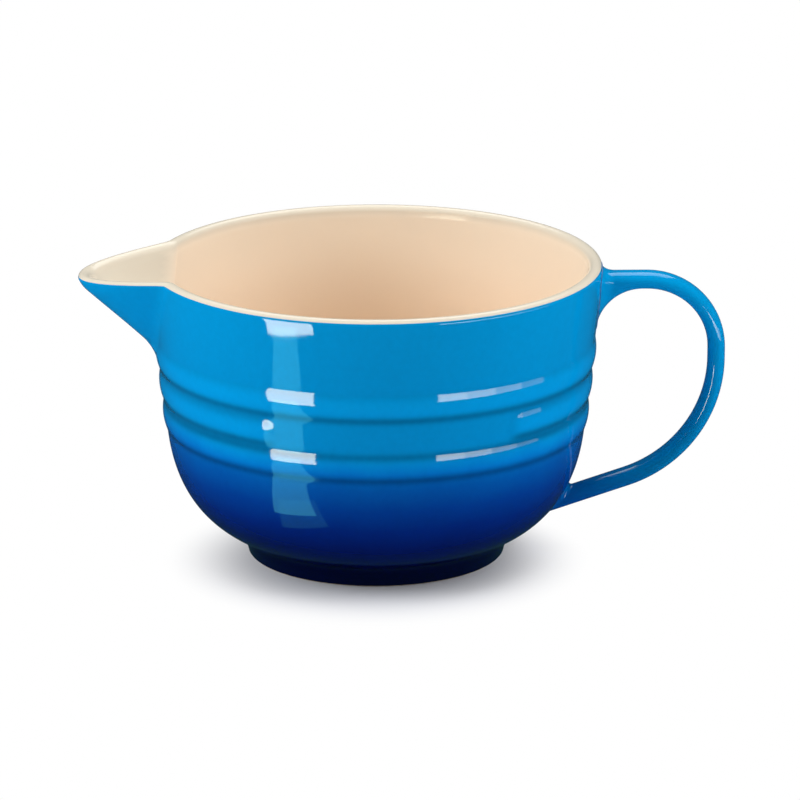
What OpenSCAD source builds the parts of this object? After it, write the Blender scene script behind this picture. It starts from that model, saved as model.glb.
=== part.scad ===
// Stoneware batter bowl with a pouring lip, three raised bands and a strap handle.
// The foot stands on Z = 0 and its centre is the origin.
// The lip points along -X, the handle along +X, and the broken band faces -Y.

/* [Bowl] */
// Outer diameter of the rim, over the glaze
rim_d = 180; // [160:1:200]
// Height from the foot to the top of the rim
bowl_h = 119; // [115:1:130]
// Wall thickness, glaze included
wall_t = 5.6; // [4.6:0.1:7]
// How much the flared wall and the upright stretch widen from the belly to the rim
rim_flare = 6.7; // [4:0.1:9]
// Height where the round bottom meets the flared wall
belly_z = 52; // [49:0.5:55]
// Height of the upright stretch below the rim
upright_h = 12; // [8:0.5:16]
// Rounding between the flared wall and the upright stretch
upright_blend = 1.5; // [0.5:0.1:2]
// Rise of the round bottom where it leaves the foot
heel_angle = 20; // [14:1:26]
// Height of the flat floor inside
floor_z = 10; // [9:0.1:12]
// Radius of the flat floor inside
floor_r = 24; // [18:1:30]
// Radius of the rim's outer edge
rim_outer_round = 2.3; // [1:0.1:2.6]
// Radius of the rim's inner edge
rim_inner_round = 2.6; // [1:0.1:2.8]

/* [Foot] */
// Outer radius of the foot ring where it stands
foot_r = 49.5; // [44:0.5:52]
// How much wider the foot ring is where it meets the bowl
foot_draft = 1.5; // [0:0.1:3]
// Height at which the foot ring meets the round bottom
foot_h = 8; // [7:0.1:9]
// Width of the foot ring, inside to outside
foot_ring_w = 7; // [5:0.1:10]
// Depth of the recess inside the foot ring
foot_recess = 3.2; // [2:0.1:3.6]
// Round on the two lower edges of the foot ring
foot_round = 1; // [0.5:0.1:1.4]
// Blend between the foot ring and the round bottom
foot_blend = 2; // [1:0.1:3]

/* [Bands] */
// Height of the middle of the lowest band
low_band_z = 57.8; // [57:0.1:59]
// Distance from one band to the next
band_pitch = 12.4; // [12:0.1:13]
// Width of one band
band_w = 11.4; // [10:0.1:11.6]
// How far a band stands out of the wall
band_h = 1.9; // [1:0.1:2.4]
// Rounding of the hollow beside a band
band_blend = 0.7; // [0.3:0.1:1]
// Half of the angle over which the middle band is broken
band_gap_half = 32; // [20:1:40]
// Angle from -Y to the middle of the break, towards the handle
band_gap_turn = 4; // [-10:1:10]

/* [Pouring lip] */
// How far the lip reaches past the rim
lip_reach = 28.5; // [20:0.5:32]
// Half of the lip's width at the rim
lip_half_w = 33; // [26:0.5:35]
// How far the tip lies below the rim
lip_drop = 4.2; // [0:0.1:6]
// Rounding of the crease between the lip and the wall
lip_blend = 2.6; // [1:0.1:4]

/* [Handle] */
// Width of the strap
strap_w = 15.5; // [12:0.5:20]
// Thickness of the strap
strap_t = 6.2; // [5:0.1:8]
// Distance from the top of the rim down to the middle of the strap's upper arm
arm_drop = 7.8; // [7:0.1:11]
// Distance from the wall to the middle of the strap at its outermost point
strap_out = 45.3; // [42:0.1:55]
// Radius of the upper bend, at the middle of the strap
upper_bend_r = 28; // [24:0.5:32]
// Length of the straight stretch between the bends
grip_straight = 3; // [1:0.5:6]
// Height at which the middle of the lower arm meets the round bottom
lower_joint_z = 21.2; // [19:0.1:26]
// Radius of the lower bend, as a share of its centre's height above the lower joint
lower_bend_share = 0.88; // [0.8:0.01:0.94]
// Share of the upper arm's length over which its underside sweeps into the wall
under_share = 0.95; // [0.6:0.01:0.96]
// Sweep of the strap's top into the wall at the upper joint
over_sweep = 5; // [3:0.5:6]
// Sweep of the strap's sides into the wall at the upper joint
side_sweep = 6; // [4:0.5:9]
// Sweep of the strap's upper side into the wall at the lower joint
low_sweep = 7; // [3:0.5:9]

/* [Coats] */
// Thickness of the fired glaze
glaze_t = 0.5; // [0.3:0.05:0.6]
// Thickness of the luting slip that holds the handle
slip_t = 1; // [0.8:0.05:1.5]
// Height at which the blue glaze ends on the foot
glaze_line_z = 1.6; // [1.2:0.1:2]

/* [Hidden] */
$fn = 96;

overrun = 1;
rim_r = rim_d / 2;

// Bottom and wall of the bowl, as the glazed outer face
belly_r = rim_r - rim_flare;
flare = rim_flare / (bowl_h - upright_h - belly_z);
foot_corner = [foot_r + foot_draft, foot_h];
heel_top = [belly_r, belly_z];
heel_rise = tan(heel_angle);
heel_lean = (belly_z - foot_h + foot_corner[0] * heel_rise) * flare;
heel_turn_r = (belly_r - heel_lean) / (1 - heel_rise * flare);
heel_turn = [heel_turn_r, foot_h + (heel_turn_r - foot_corner[0]) * heel_rise];
inner_top = [belly_r - wall_t, belly_z];
inner_turn = [inner_top[0] - (belly_z - floor_z) * flare, floor_z];
recess_r = foot_r - foot_ring_w;

// Bands
band_half_w = band_w / 2;
bead_r = (band_half_w * band_half_w + band_h * band_h) / (2 * band_h);
middle_band_z = low_band_z + band_pitch;
top_band_z = low_band_z + 2 * band_pitch;
band_span_share = 1.28;
band_span = band_half_w * band_span_share;
band_rows = 10;
bead_steps = 6;
bead_foot_share = 1.04;
bead_foot = band_half_w * bead_foot_share;
band_root_share = 0.33;
band_root = wall_t * band_root_share;
coat_root_share = 0.7;
coat_root = glaze_t * coat_root_share;

// Lip. Its underside leaves the wall at the middle of the top band.
lip_low_z = top_band_z;
lip_window_half = 30;
lip_columns = 24;
lip_floor_share = 1.14;
lip_floor_z = top_band_z - band_half_w * lip_floor_share;
lip_rows = 8;
lip_side_share = 0.6;
lip_rise_share = 0.4;
lip_width_power = 0.6;
lip_keel_power = 1.08;
lip_plan_power = 2.2;
lip_point_share = 0.01;
rim_steps = 6;
colour_line_step = 2;
heel_steps = 14;
inner_heel_steps = 12;
blend_steps = 4;

// Pieces of one wall reach into each other by the tenon, and are drawn in by the seam there
tenon = 0.3;
seam = 0.06;

// Strap
strap_sides = 24;
strap_power = 2.4;
sweep_steps = 9;
sweep_start_share = 0.1;
sweep_spacing = 1.5;
arm_z = bowl_h - arm_drop;
upper_wall_x = plain_r(arm_z);
strap_reach = upper_wall_x + strap_out;
upper_run = strap_out - upper_bend_r;
upper_bend_x = upper_wall_x + upper_run;
upper_bend_z = arm_z - upper_bend_r;
lower_bend_z = upper_bend_z - grip_straight;
lower_bend_r = lower_bend_share * (lower_bend_z - lower_joint_z);
lower_bend_x = strap_reach - lower_bend_r;
bury = wall_t / 2;

// The lower arm runs from its joint on the round bottom along the tangent of the lower bend
lower_share = heel_share(lower_joint_z);
lower_foot = bend_point(heel_top, heel_turn, foot_corner, lower_share);
lower_span = [lower_bend_x, lower_bend_z] - lower_foot;
arm_angle = atan2(lower_span[1], lower_span[0]) - asin(lower_bend_r / norm(lower_span));
lower_bend = 90 - arm_angle;
lower_run = sqrt(lower_span * lower_span - lower_bend_r * lower_bend_r);
lower_tangent = (1 - lower_share) * (heel_top - heel_turn) + lower_share * (heel_turn - foot_corner);
lower_slant = strap_t / 2 * tan(atan2(lower_tangent[0], lower_tangent[1]) + arm_angle);

clay = "#cdbb9f";
cream = "#ead9bd";
blue = "#0b6fc0";
deep_blue = "#0a5aa8";

function steps(a, b, n) = [for (i = [0 : n]) a + (b - a) * i / n];
function arc(c, r, a, b, n) = [for (angle = steps(a, b, n)) c + r * [cos(angle), sin(angle)]];
function bend_point(p0, p1, p2, t) = (1 - t) * (1 - t) * p0 + 2 * t * (1 - t) * p1 + t * t * p2;
function bend(p0, p1, p2, a, b, n) = [for (t = steps(a, b, n)) bend_point(p0, p1, p2, t)];
function soft_max(a, b, k) = max(a, b) + pow(max(k - abs(a - b), 0), 2) / (4 * k);
function unit(v) = v / norm(v);
function side(c, i) = let (
    a = c[max(i - 1, 0)],
    b = c[min(i + 1, len(c) - 1)],
    d = unit(b - a)
) [-d[1], d[0]];
// A curve moved by t to its left, point by point
function inset(c, t) = [for (i = [0 : len(c) - 1]) c[i] + t * side(c, i)];
function part_of(c, a, b) = [for (i = [a : b]) c[i]];
function reverse(c) = [for (i = [len(c) - 1 : -1 : 0]) c[i]];
function at_height(a, b, z) = a + (b - a) * (z - a[1]) / (b[1] - a[1]);
// The stretch of a rising curve above a height, starting exactly there
function above(c, z) = let (k = [for (i = [0 : len(c) - 2]) if (c[i][1] <= z && c[i + 1][1] > z) i][0])
    concat([at_height(c[k], c[k + 1], z)], part_of(c, k + 1, len(c) - 1));

// Radius of the plain outer face at a height
function plain_r(z) = z < belly_z
    ? bend_point(heel_top, heel_turn, foot_corner, heel_share(z))[0]
    : rim_r - soft_max((bowl_h - upright_h - z) * flare, 0, upright_blend);
// Share of the round bottom's bend at which it passes a height
function heel_share(z) = let (
    q = heel_top[1] - 2 * heel_turn[1] + foot_corner[1],
    l = 2 * (heel_turn[1] - heel_top[1]),
    h = heel_top[1] - z
) 2 * h / (sqrt(l * l - 4 * q * h) - l);
// How far a band stands out at a distance from its middle
function bead(u) = soft_max(sqrt(max(bead_r * bead_r - u * u, 0)) - bead_r + band_h, 0, band_blend);
function outer_r(z) = plain_r(z) + bead(z - low_band_z) + bead(z - top_band_z);
function band_heights(z) = steps(z - band_span, z + band_span, band_rows);

// The glazed face: from the glaze line on the foot, up the outside, over the rim and down to the
// centre of the floor
foot_blend_share = 1 - foot_blend / (2 * norm(foot_corner - heel_turn));
foot_side = [
    foot_corner - foot_draft * (foot_h - glaze_line_z) / foot_h * [1, 0] - [0, foot_h - glaze_line_z],
    foot_corner - foot_draft * foot_blend / foot_h * [1, 0] - [0, foot_blend],
];
heel_start = bend_point(heel_top, heel_turn, foot_corner, foot_blend_share);
heel_end_share = heel_share(low_band_z - band_span);
foot_curve = concat([foot_side[0]], bend(foot_side[1], foot_corner, heel_start, 0, 1, blend_steps));
heel_curve = part_of(
    bend(heel_top, heel_turn, foot_corner, foot_blend_share, heel_end_share, heel_steps), 1, heel_steps - 1
);
band_curve = [for (z = concat(band_heights(low_band_z), band_heights(top_band_z))) [outer_r(z), z]];
wall_top_z = bowl_h - rim_outer_round;
wall_start_z = top_band_z + band_span;
wall_heights = part_of(steps(wall_start_z, wall_top_z, lip_rows), 1, lip_rows - 1);
wall_curve = [for (z = wall_heights) [outer_r(z), z]];
rim_curve = concat(
    arc([plain_r(wall_top_z) - rim_outer_round, wall_top_z], rim_outer_round, 0, 90, rim_steps),
    arc([rim_r - wall_t + rim_inner_round, bowl_h - rim_inner_round], rim_inner_round, 90, 180, rim_steps)
);
// The inside has as many rows above the lip's window as the outside, so that both faces pair up
inner_rows = lip_rows + band_rows;
inner_top_z = bowl_h - rim_inner_round;
inner_low_z = top_band_z - band_span;
inner_heights = part_of(steps(inner_top_z, inner_low_z, inner_rows), 1, inner_rows);
inner_wall = [for (z = inner_heights) [plain_r(z) - wall_t, z]];
inner_heel = bend(inner_top, inner_turn, [floor_r, floor_z], 0, 1, inner_heel_steps);
outside = concat(foot_curve, heel_curve, band_curve, wall_curve);
face = concat(outside, rim_curve, inner_wall, inner_heel, [[0, floor_z]]);
colour_line = len(outside) + colour_line_step;
rim_middle = len(outside) + rim_steps;
clay_face = inset(face, glaze_t);
last = len(face) - 1;

// Clay section: the face under the glaze, the recess and the foot ring
recess_roof = foot_recess + glaze_t;
recess_wall = recess_r - glaze_t;
recess_curve = [
    [0, recess_roof], [recess_wall - foot_round, recess_roof],
    [recess_wall, recess_roof - foot_round], [recess_wall, glaze_line_z],
];
foot_ring_curve = [
    [recess_r, glaze_line_z], [recess_r, foot_round], [recess_r + foot_round, 0],
    [foot_r - foot_round, 0], [foot_r, foot_round], foot_side[0],
];
body_section = concat(clay_face, recess_curve, foot_ring_curve);
inner_section = concat(part_of(face, colour_line, last), reverse(part_of(clay_face, colour_line, last)));
outer_section = concat(part_of(face, 0, colour_line), reverse(part_of(clay_face, 0, colour_line)));

// A point of the round wall, pushed out along -X into the lip. turn is measured from -X.
function pushed(p, turn) = let (
    depth = max(plain_r(p[1]) - p[0], 0),
    climb = (p[1] - lip_rise_share * depth - lip_low_z) / (bowl_h - lip_low_z),
    open = max(climb, lip_point_share),
    half = (lip_half_w - lip_side_share * depth) * pow(open, lip_width_power),
    y = p[0] * sin(turn),
    reach = lip_reach * pow(open, lip_keel_power),
    raw = reach * (1 - pow(abs(y) / half, lip_plan_power)) + lip_reach * min(climb - open, 0),
    d = soft_max(raw, 0, lip_blend)
) [-p[0] * cos(turn) - d, y, p[1] - lip_drop * d / lip_reach];

// The lip's stretch of wall between two faces with paired points. Its lowest row and its two end
// columns are drawn in by the seam and reach into the round wall, so that the two run into each other.
// Where a coat lies on the clay, its squares are split as the clay's are, so that the two fit.
module lip_wall(front_curve, back_curve, on_clay) {
    front = above(front_curve, lip_floor_z - tenon);
    back = above(back_curve, lip_floor_z - tenon);
    n = len(front);
    ring = 2 * n;
    points = [for (j = [0 : lip_columns], i = [0 : ring - 1]) let (
        k = min(i, ring - 1 - i),
        here = i < n ? front[k] : back[k],
        facing = i < n ? back[k] : front[k],
        end = j == 0 || j == lip_columns,
        across = end || k == 0 ? unit(facing - here) : [0, 0],
        down = end && k == n - 1 ? unit(front[k - 1] + back[k - 1] - 2 * here) : [0, 0]
    ) pushed(here + seam * (across + down), (lip_window_half + tenon) * (2 * j / lip_columns - 1))];
    sides = [for (j = [0 : lip_columns - 1], i = [0 : ring - 1]) let (
        a = j * ring + i,
        b = j * ring + (i + 1) % ring
    ) each on_clay == (i < n ? "front" : "back")
        ? [[a, a + ring, b], [b, a + ring, b + ring]]
        : [[a, b + ring, b], [a, a + ring, b + ring]]];
    low_cap = [for (i = [0 : n - 2]) let (k = ring - 1 - i)
        each [[i, i + 1, k], [i + 1, k - 1, k]]];
    high_cap = [for (f = low_cap) [f[2], f[1], f[0]] + lip_columns * ring * [1, 1, 1]];
    polyhedron(points, concat(sides, low_cap, high_cap), convexity = 6);
}

// A section turned round the axis, with the lip's window cut out
module round_wall(section) {
    reach = rim_r + overrun;
    far = reach / cos(lip_window_half);
    difference() {
        rotate_extrude() polygon(section);
        translate([0, 0, lip_floor_z])
            linear_extrude(bowl_h - lip_floor_z + overrun)
                polygon([
                    [0, 0],
                    far * [-cos(lip_window_half), sin(lip_window_half)],
                    far * [-1, tan(lip_window_half)],
                    far * [-1, -tan(lip_window_half)],
                    far * [-cos(lip_window_half), -sin(lip_window_half)],
                ]);
    }
}

// Solid of revolution inside the outer face, drawn in by t
module core(t) {
    skin = inset(part_of(face, 0, rim_middle), t);
    rotate_extrude()
        polygon(concat(skin, [[0, skin[rim_middle][1]], [0, skin[0][1]]]));
}

// Half of a band's section: distance from its middle, distance out of the wall
function half_bead(t, root) = concat(
    [[0, -root], [0, band_h - t]],
    [for (i = [1 : bead_steps]) let (u = bead_foot * i / bead_steps)
        [u, sqrt(pow(bead_r - t, 2) - u * u) - bead_r + band_h]],
    [[bead_foot, -root]]
);

// The middle band, drawn in by t and rooted in the wall
module middle_band(t, root) {
    half = half_bead(t, root);
    rotate([0, 0, -90 + band_gap_turn + band_gap_half])
        rotate_extrude(angle = 360 - 2 * band_gap_half)
            translate([plain_r(middle_band_z), middle_band_z])
                rotate(-atan(flare))
                    polygon(concat(
                        [for (i = [1 : len(half) - 1]) [half[i][1], half[i][0]]],
                        [for (i = [len(half) - 1 : -1 : 2]) [half[i][1], -half[i][0]]]
                    ));
}

// Strap cross-section, wide along x and thick along y, grown by t
function strap_outline(half_w, up, down, t) = [for (i = [0 : strap_sides - 1]) let (
    a = 360 * i / strap_sides,
    c = cos(a),
    s = sin(a),
    e = 2 / strap_power
) [
    (half_w + t) * sign(c) * pow(abs(c), e),
    ((s > 0 ? up : down) + t) * sign(s) * pow(abs(s), e),
]];

// Height of a round sweep of radius r at a distance s from the wall
function sweep(s, r) = let (left = r - max(s, sweep_start_share * r))
    left <= 0 ? 0 : r - sqrt(r * r - left * left);

// A strap arm that sweeps out towards the wall. Its stations are distances from the wall.
// slant is how much nearer the wall the upper side is than the middle. The far end is drawn in
// by the seam and reaches into the grip, so that the two run into each other.
module arm(length, over, under, sides, slant, t) {
    longest = max(over, under, sides);
    stations = concat(
        [-bury - 2 * slant],
        [for (i = [0 : sweep_steps])
            longest * (sweep_start_share + (1 - sweep_start_share) * pow(i / sweep_steps, sweep_spacing))],
        [length - tenon, length + tenon]
    );
    far_end = length + tenon;
    rings = [for (s = stations) let (
        o = strap_outline(
            strap_w / 2 + sweep(s, sides),
            strap_t / 2 + sweep(s - slant, over),
            strap_t / 2 + sweep(s + slant, under),
            s == far_end ? t - 2 * seam : t
        )
    ) [for (p = o) [s, p[0], p[1]]]];
    points = [for (r = rings, p = r) p];
    count = len(stations);
    sides_faces = [for (j = [0 : count - 2], i = [0 : strap_sides - 1]) let (
        a = j * strap_sides + i,
        b = j * strap_sides + (i + 1) % strap_sides
    ) each [[a, b + strap_sides, b], [a, a + strap_sides, b + strap_sides]]];
    near = [for (i = [0 : strap_sides - 1]) i];
    far = [for (i = [strap_sides - 1 : -1 : 0]) (count - 1) * strap_sides + i];
    polyhedron(points, concat(sides_faces, [near, far]), convexity = 4);
}

module upper_arm(t) {
    translate([upper_wall_x, 0, arm_z])
        arm(upper_run, over_sweep, upper_run * under_share, side_sweep, 0, t);
}

module lower_arm(t) {
    translate([lower_foot[0], 0, lower_foot[1]])
        rotate([0, -arm_angle, 0])
            arm(lower_run, low_sweep, 0, side_sweep, lower_slant, t);
}

// The curved grip between the two arms
module grip(t) {
    section = strap_outline(strap_w / 2, strap_t / 2, strap_t / 2, t);
    translate([upper_bend_x, 0, upper_bend_z])
        rotate([90, 0, 0])
            rotate_extrude(angle = 90)
                translate([upper_bend_r, 0]) rotate(90) polygon(section);
    translate([strap_reach, 0, lower_bend_z])
        linear_extrude(grip_straight)
            rotate(90) polygon(section);
    translate([lower_bend_x, 0, lower_bend_z])
        rotate([90, 0, 0])
            rotate_extrude(angle = -lower_bend)
                translate([lower_bend_r, 0]) rotate(90) polygon(section);
}

module strap(t) {
    upper_arm(t);
    grip(t);
    lower_arm(t);
}

module bowl_body() {
    color(clay) {
        round_wall(body_section);
        lip_wall(
            part_of(clay_face, 0, rim_middle),
            reverse(part_of(clay_face, rim_middle + 1, last)),
            "neither"
        );
        middle_band(glaze_t, band_root);
    }
}

module handle() {
    color(clay)
        difference() {
            strap(0);
            core(glaze_t - slip_t);
        }
}

module slip_layer() {
    difference() {
        core(glaze_t - slip_t);
        core(glaze_t);
    }
}

module upper_slip_joint() {
    color(clay)
        intersection() {
            upper_arm(0);
            slip_layer();
        }
}

module lower_slip_joint() {
    color(clay)
        intersection() {
            lower_arm(0);
            slip_layer();
        }
}

module inner_glaze() {
    color(cream) {
        round_wall(inner_section);
        lip_wall(
            reverse(part_of(clay_face, colour_line, last)),
            reverse(part_of(face, colour_line, last)),
            "front"
        );
    }
}

module outer_glaze() {
    color(blue)
        difference() {
            union() {
                round_wall(outer_section);
                lip_wall(
                    part_of(face, 0, colour_line),
                    part_of(clay_face, 0, colour_line),
                    "back"
                );
                middle_band(0, coat_root);
            }
            middle_band(glaze_t, band_root);
            upper_arm(0);
            lower_arm(0);
        }
}

module handle_glaze() {
    color(deep_blue)
        difference() {
            strap(glaze_t);
            strap(0);
            core(0);
        }
}

module base_glaze() {
    coat_wall = recess_wall - glaze_t;
    coat_corner = foot_round - glaze_t / 2;
    color(cream)
        rotate_extrude()
            polygon(concat(
                [[0, foot_recess], [coat_wall - coat_corner, foot_recess]],
                [[coat_wall, foot_recess - coat_corner], [coat_wall, glaze_line_z]],
                reverse(recess_curve)
            ));
}

bowl_body();
handle();
upper_slip_joint();
lower_slip_joint();
inner_glaze();
outer_glaze();
handle_glaze();
base_glaze();
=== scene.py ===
import math
from types import SimpleNamespace

import bpy
import numpy as np
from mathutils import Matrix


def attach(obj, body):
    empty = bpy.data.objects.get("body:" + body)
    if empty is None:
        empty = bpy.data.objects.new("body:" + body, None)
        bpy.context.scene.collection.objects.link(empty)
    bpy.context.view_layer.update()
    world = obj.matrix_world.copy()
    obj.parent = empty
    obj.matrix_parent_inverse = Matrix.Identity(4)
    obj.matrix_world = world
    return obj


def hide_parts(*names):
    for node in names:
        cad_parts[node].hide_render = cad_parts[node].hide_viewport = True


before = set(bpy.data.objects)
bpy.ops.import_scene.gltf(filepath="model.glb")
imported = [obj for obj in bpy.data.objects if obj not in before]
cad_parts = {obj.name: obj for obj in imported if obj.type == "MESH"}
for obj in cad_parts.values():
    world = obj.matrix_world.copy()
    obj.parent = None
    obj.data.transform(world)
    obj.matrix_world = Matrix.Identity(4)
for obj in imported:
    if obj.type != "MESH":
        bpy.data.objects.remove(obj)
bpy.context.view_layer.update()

bl_info = {
    "name": "Batter bowl",
    "version": (1, 0, 0),
    "blender": (4, 5, 0),
    "location": "View3D > Sidebar > Batter bowl",
    "description": "Glazed stoneware batter bowl with a pulled lip, raised bands and a strap handle",
    "category": "Add Mesh",
}

MM = 0.001
BODY = "root"

# Columns of the turned pieces: degrees and steps, starting LIP_WINDOW degrees beside the lip's middle.
# The lip and the two ends of the broken band get fine columns.
LIP_WINDOW = 30
COLUMNS = ((60, 100), (26, 20), (10, 25), (56, 43), (10, 25), (198, 150))
PLAIN_COLUMNS = ((360, 180),)

# The blue coat runs from this angle on the foot's lower edge to this one on the rim's outer edge, where
# the cream coat takes over.
BLUE_START = -35
COLOUR_LINE = 30

# The bands get fine rows from this many half widths below the lowest to as many above the highest.
BAND_MARGIN = 1.28

# The coat under the foot ends this many radii of the foot's edge above the floor. From there the clay
# is bare, to this angle on the ring's outer edge.
BASE_COAT_END = 1.6
BARE_END = 296
RECESS_PALENESS = 0.1

# How deep the ends of the strap's pieces reach into the wall, and the play between clay and coat.
COAT_BURY = 0.1 * MM
CLAY_BURY = 1.2 * MM
SLIP_BURY = 0.5 * MM
CLAY_PLAY = 0.02 * MM

# The strap's coat is this share of the bowl's coat, so that it clears the clay inside it.
COAT_THINNING = 0.9

# Sides of the strap's tubes, the angle in degrees below which edges are shaded smooth, and how close
# two points are merged.
COAT_SIDES = 72
CLAY_SIDES = 48
SMOOTH_BELOW = 38
MERGE = 0.002 * MM


def linear(code):
    """An sRGB hex colour as linear red, green, blue and alpha."""
    parts = [int(code[i:i + 2], 16) / 255 for i in (0, 2, 4)]
    low = 0.04045
    return [c / 12.92 if c <= low else ((c + 0.055) / 1.055) ** 2.4 for c in parts] + [1.0]


def length(name, description, default_mm):
    """A size of the bowl, given in millimetres."""
    return bpy.props.FloatProperty(
        name=name, description=description, default=default_mm * MM,
        min=0, precision=5, subtype="DISTANCE", unit="LENGTH",
    )


def turn(name, description, default_degrees):
    """An angle, given in degrees."""
    return bpy.props.FloatProperty(
        name=name, description=description, default=math.radians(default_degrees),
        subtype="ANGLE", unit="ROTATION",
    )


def share(name, description, default):
    """A share or a power, without a unit."""
    return bpy.props.FloatProperty(
        name=name, description=description, default=default, min=0, subtype="FACTOR",
    )


def colour(name, description, code):
    """A colour, given as sRGB hex."""
    return bpy.props.FloatVectorProperty(
        name=name, description=description, default=linear(code),
        size=4, min=0, max=1, subtype="COLOR",
    )


class BowlSizes(bpy.types.PropertyGroup):
    """Sizes of the cast bowl, over its glaze."""
    rim_d: length("Rim diameter", "Outer diameter of the rim", 179.4)
    height: length("Height", "Foot to the top of the rim", 119)
    wall: length("Wall", "Wall thickness, glaze included", 5.6)
    belly_r: length("Belly radius", "Radius where the round bottom meets the wall", 83.0)
    belly_z: length("Belly height", "Height where the round bottom meets the wall", 51.3)
    upright: length("Upright", "Height of the upright stretch below the rim", 5.2)
    upright_blend: length("Upright blend", "Rounding below the upright stretch", 1.5)
    heel: turn("Heel", "Rise of the round bottom where it leaves the foot", 21)
    floor_z: length("Floor height", "Height of the flat floor inside", 10)
    floor_r: length("Floor radius", "Radius of the flat floor inside", 24)
    rim_out: length("Rim outside", "Radius of the rim's outer edge", 2.3)
    rim_in: length("Rim inside", "Radius of the rim's inner edge", 2.6)
    foot_r: length("Foot radius", "Outer radius of the foot ring", 51.2)
    foot_draft: length("Foot draft", "How much wider the foot is at the bowl", 1.8)
    foot_h: length("Foot height", "Height of the foot ring", 8)
    foot_ring: length("Foot ring", "Width of the foot ring", 7)
    recess: length("Recess", "Depth of the recess under the foot", 3.2)
    foot_round: length("Foot round", "Round on the foot ring's lower edges", 1)
    foot_blend: length("Foot blend", "Blend between the foot and the bowl", 2)


class BandSizes(bpy.types.PropertyGroup):
    """Sizes of the three raised bands."""
    low_z: length("Lowest band", "Height of the lowest band's middle", 57.8)
    pitch: length("Pitch", "From one band to the next", 12.4)
    width: length("Width", "Width of one band", 11.4)
    proud: length("Proud", "How far a band stands out", 1.0)
    blend: length("Blend", "Rounding of the hollow beside a band", 0.45)
    gap_half: turn("Break", "Half of the angle over which the middle band is broken", 32)
    gap_turn: turn("Break place", "From -Y to the middle of the break", 4)


class LipSizes(bpy.types.PropertyGroup):
    """Sizes of the pouring lip."""
    reach: length("Reach", "How far the lip reaches past the rim", 28.5)
    half_w: length("Half width", "Half of the lip's width at the rim", 33)
    low_z: length("Low end", "Height at which the underside leaves the wall", 82.6)
    drop: length("Drop", "How far the tip lies below the rim", 4.2)
    blend: length("Blend", "Rounding of the crease between lip and wall", 2.6)
    side: share("Side", "Share of the wall's depth that narrows the channel", 0.6)
    rise: share("Rise", "Share of the wall's depth that lifts the channel", 0.4)
    width_power: share("Width power", "How the lip widens as it rises", 0.6)
    keel_power: share("Keel power", "How the keel bends as it rises", 1.08)
    keel_gain: share("Keel gain", "How early the keel reaches the tip", 1.1)
    keel_blend: share("Keel blend", "Rounding of the keel where it reaches the tip", 0.12)
    plan_power: share("Plan power", "How round the lip is from above", 2.2)
    point: share("Point", "Share of the lip's height that its lowest point takes", 0.01)


class StrapSizes(bpy.types.PropertyGroup):
    """Sizes of the strap handle's clay and of the slip at its joints."""
    width: length("Width", "Width of the strap", 11.2)
    thick: length("Thickness", "Thickness of the strap", 5.9)
    arm_z: length("Upper arm", "Height of the upper arm's middle", 110.5)
    reach: length("Reach", "Axis to the middle of the strap at its outermost", 135.3)
    upper_r: length("Upper bend", "Radius of the upper bend", 28)
    straight: length("Straight", "Straight stretch between the bends", 4.4)
    lower_r: length("Lower bend", "Radius of the lower bend", 51.92)
    lower_turn: turn("Lower turn", "Angle of the lower bend", 71.3165)
    power: share("Squareness", "2 is an ellipse, more is squarer", 2.2)
    top_run: length("Top run", "Run of the upper joint's top sweep", 5)
    top_rise: length("Top rise", "Rise of the upper joint's top sweep", 3)
    under: length("Under sweep", "Sweep under the upper joint", 16.5)
    side: length("Side sweep", "Sweep of the strap's sides into the wall", 6)
    low: length("Low sweep", "Sweep on top of the lower joint", 7)
    low_under: length("Low under", "Sweep under the lower joint", 1.2)
    slip_h: length("Slip height", "How far the slip stands out of the wall", 0.25)
    slip_round: length("Slip round", "How far the slip draws in over its height", 0.8)
    slip_upper: share("Upper slip", "Thickness of the upper slip's edge in coats of glaze", 0.8)
    slip_lower: share("Lower slip", "Thickness of the lower slip's edge in coats of glaze", 1.15)


class GlazeLook(bpy.types.PropertyGroup):
    """Thickness and colours of the fired coats and the clay."""
    thick: length("Thickness", "Thickness of the fired glaze", 0.5)
    rim_blue: colour("Rim blue", "Blue of the wall near the rim", "0095D3")
    wall_blue: colour("Wall blue", "Blue of the wall above the bands", "0091CF")
    band_blue: colour("Band blue", "Blue between the bands", "008BCB")
    low_band_blue: colour("Low band blue", "Blue on the lowest band", "0068B8")
    belly_blue: colour("Belly blue", "Blue below the bands", "0054A6")
    round_blue: colour("Round blue", "Blue where the round bottom turns under", "003A8E")
    heel_blue: colour("Heel blue", "Blue low on the round bottom", "002477")
    deep_blue: colour("Deep blue", "Blue just above the foot", "000D57")
    foot_blue: colour("Foot blue", "Near-black blue of the foot", "000130")
    arm_blue: colour("Arm blue", "Blue of the handle's lower arm", "0074AC")
    # Deep cream is darker low inside, partly the glaze and partly painted shade of the bowl's depth. Pale
    # cream is paler on the rim and in the lip, partly thin glaze and partly painted light where they face
    # up.
    deep_shaded_cream: colour("Deep cream", "Cream glaze where it lies thick, low inside", "EDD3B7")
    cream: colour("Cream", "Cream glaze inside", "F8EAD5")
    pale_lit_cream: colour("Pale cream", "Cream glaze on the rim and the lip", "E3D9C6")
    clay: colour("Clay", "Bare fired stoneware", "CDBB9F")
    speck: colour("Speck", "Iron specks in the stoneware", "6B4A2E")
    slip: colour("Slip", "Slip at the handle's joints, under thin glaze", "6E7C9C")


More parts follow.
